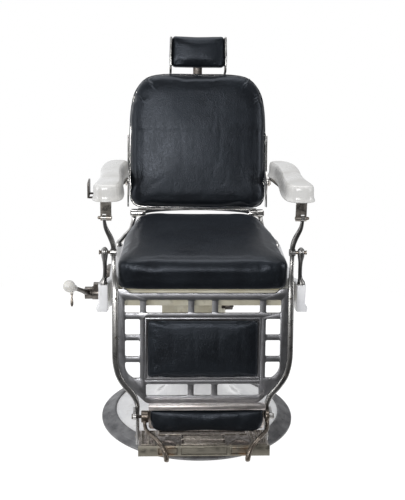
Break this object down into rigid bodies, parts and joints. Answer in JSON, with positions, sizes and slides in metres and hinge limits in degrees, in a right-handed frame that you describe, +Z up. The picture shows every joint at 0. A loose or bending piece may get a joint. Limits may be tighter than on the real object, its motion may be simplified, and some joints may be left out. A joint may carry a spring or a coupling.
{
  "type": "hydraulic barber chair",
  "caption": "Padded reclining chair on a round hydraulic base, with a linked leg rest and arms, flip-up foot bar, sliding headrest, pump lever and strop loop.",
  "frame": {"origin": "on the floor, at the centre of the round base's bottom face, on the swivel axis", "axes": "the sitter faces -Y, +X is on the right of someone who faces the chair, +Z is up"},
  "size_m": [0.7502, 0.8918, 1.2208],
  "materials": {
    "white_enamel": "worn gloss enamel",
    "arm_porcelain": "gloss porcelain enamel",
    "cream_paint": "aged satin paint",
    "ring_metal": "matt grey, worn",
    "panel_metal": "brushed, dulled",
    "bright_nickel": "polished nickel, lightly worn",
    "worn_nickel": "tarnished nickel plate",
    "dark_steel": "dark, oiled",
    "ram_chrome": "ground and polished",
    "piston_iron": "turned",
    "seal_rubber": "matt",
    "bearing_brass": "turned",
    "ball_white": "polished",
    "board_wood": "bare plywood",
    "black_hide": "grained leatherette, soft sheen"
  },
  "bodies": {
    "base": {"base_plate": "white_enamel", "base_ring": "ring_metal", "cylinder": "dark_steel", "gland_nut": "bright_nickel", "gland_seal": "seal_rubber", "base_bolts": "dark_steel"},
    "ram": {"ram": "ram_chrome", "piston": "piston_iron", "piston_cup": "seal_rubber", "swivel_bearing": "bearing_brass"},
    "chair": {"pump_head": "cream_paint", "valve_plug": "dark_steel", "seat_hub": "cream_paint", "seat_frame": "cream_paint", "side_frame_left": "white_enamel", "side_frame_right": "white_enamel", "front_post_left": "worn_nickel", "front_post_right": "worn_nickel", "rear_post_left": "bright_nickel", "rear_post_right": "bright_nickel", "front_pivot_pins": "worn_nickel", "rear_pivot_pins": "worn_nickel", "seat_board": "board_wood", "seat_cushion": "black_hide", "frame_bolts": "worn_nickel", "lever_bracket": "dark_steel"},
    "lever": {"pump_lever": "dark_steel", "lever_ferrule": "worn_nickel", "lever_knob": "ball_white"},
    "trigger": {"release_trigger": "worn_nickel"},
    "back": {"back_pan": "bright_nickel", "back_frame": "bright_nickel", "side_strips": "bright_nickel", "back_cushion": "black_hide", "headrest_socket": "dark_steel", "socket_screws": "dark_steel"},
    "headrest_post": {"headrest_stem": "dark_steel"},
    "headrest": {"headrest_yoke": "dark_steel", "tilt_knob": "worn_nickel", "headrest_pad": "black_hide", "headrest_end_plates": "bright_nickel", "paper_rod": "dark_steel"},
    "arm_left": {"arm_pad_left": "arm_porcelain", "arm_bracket_left": "worn_nickel", "arm_pins_left": "worn_nickel", "strop_loop": "dark_steel"},
    "arm_right": {"arm_pad_right": "arm_porcelain", "arm_bracket_right": "worn_nickel", "arm_pins_right": "worn_nickel"},
    "legrest": {"leg_rail_left": "worn_nickel", "leg_rail_right": "worn_nickel", "leg_panel": "panel_metal", "calf_pad": "black_hide", "rail_screws": "dark_steel", "footplate": "worn_nickel", "footplate_bolts": "worn_nickel", "flip_pins": "dark_steel"},
    "flip": {"flip_tray": "worn_nickel", "flip_pad": "black_hide", "flip_arms": "worn_nickel"}
  },
  "joints": [
    {"name": "lift", "type": "slide", "parent": "base", "child": "ram", "axis": [0, 0, 1], "range_m": [0, 0.18]},
    {"name": "swivel", "type": "hinge", "parent": "ram", "child": "chair", "pos_m": [0, 0, 0.4], "axis": [0, 0, 1], "continuous": true},
    {"name": "recline", "type": "hinge", "parent": "chair", "child": "back", "pos_m": [0, 0.205, 0.646], "axis": [-1, 0, 0], "range_deg": [0, 45]},
    {"name": "legrest_swing", "type": "hinge", "parent": "chair", "child": "legrest", "pos_m": [0, -0.23, 0.646], "axis": [-1, 0, 0], "range_deg": [0, 45]},
    {"name": "arm_left_level", "type": "hinge", "parent": "back", "child": "arm_left", "pos_m": [0, 0.205, 0.752], "axis": [-1, 0, 0], "range_deg": [-45, 0]},
    {"name": "arm_right_level", "type": "hinge", "parent": "back", "child": "arm_right", "pos_m": [0, 0.205, 0.752], "axis": [-1, 0, 0], "range_deg": [-45, 0]},
    {"name": "flip_rest", "type": "hinge", "parent": "legrest", "child": "flip", "pos_m": [0, -0.37799, 0.18244], "axis": [-1, 0, 0], "range_deg": [0, 90]},
    {"name": "headrest_height", "type": "slide", "parent": "back", "child": "headrest_post", "axis": [0, 0.2164, 0.9763], "range_m": [0, 0.1]},
    {"name": "headrest_tilt", "type": "hinge", "parent": "headrest_post", "child": "headrest", "pos_m": [0, 0.36694, 1.14601], "axis": [1, 0, 0], "range_deg": [-10, 12]},
    {"name": "pump_stroke", "type": "hinge", "parent": "chair", "child": "lever", "pos_m": [0, 0, 0.435], "axis": [1, 0, 0], "range_deg": [-15, 35]},
    {"name": "release_trigger", "type": "hinge", "parent": "lever", "child": "trigger", "pos_m": [-0.39716, -0.15714, 0.49208], "axis": [1, 0, 0], "range_deg": [-15, 15], "stiffness_Nm_per_rad": 0.1}
  ],
  "couplings": [
    {"joint": "legrest_swing", "follows": "recline", "ratio": 1},
    {"joint": "arm_left_level", "follows": "recline", "ratio": -1},
    {"joint": "arm_right_level", "follows": "recline", "ratio": -1}
  ]
}
